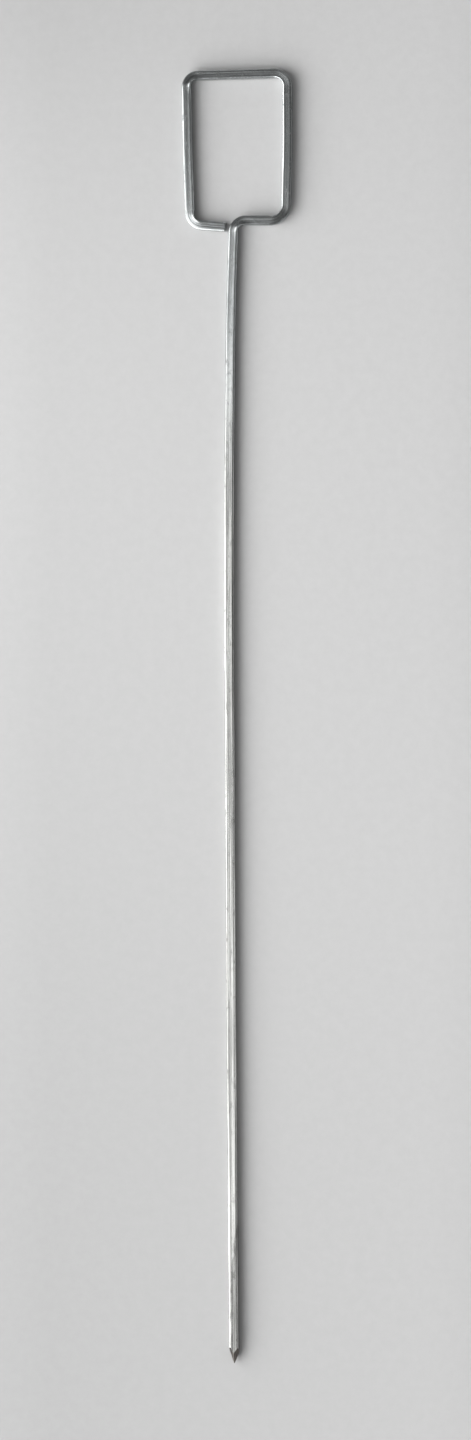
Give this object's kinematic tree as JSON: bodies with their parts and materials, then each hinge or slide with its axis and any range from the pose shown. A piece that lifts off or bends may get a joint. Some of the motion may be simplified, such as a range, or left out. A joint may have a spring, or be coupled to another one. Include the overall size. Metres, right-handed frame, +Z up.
{
  "type": "pricking iron",
  "caption": "Long slim rod of square steel bar with a short ground point at one end and an open rectangular loop handle bent at the other.",
  "frame": {"origin": "middle of the iron's outline in plan, on the surface that it lies on", "axes": "+Y along the shank from the point to the handle, +X across the handle to the side that the shank's bend leads to, +Z up from the surface"},
  "size_m": [0.0695, 0.8078, 0.006],
  "materials": {
    "bar_steel": "bright drawn steel, lightly hand-polished, with faint lengthwise draw lines",
    "ground_steel": "bare ground steel, duller and slightly brown"
  },
  "bodies": {
    "root": {"point": "ground_steel", "shank": "bar_steel", "neck_bend": "bar_steel", "right_foot": "bar_steel", "lower_right_bend": "bar_steel", "right_side": "bar_steel", "upper_right_bend": "bar_steel", "top_bar": "bar_steel", "upper_left_bend": "bar_steel", "left_side": "bar_steel", "lower_left_bend": "bar_steel", "left_foot": "bar_steel"}
  },
  "joints": []
}
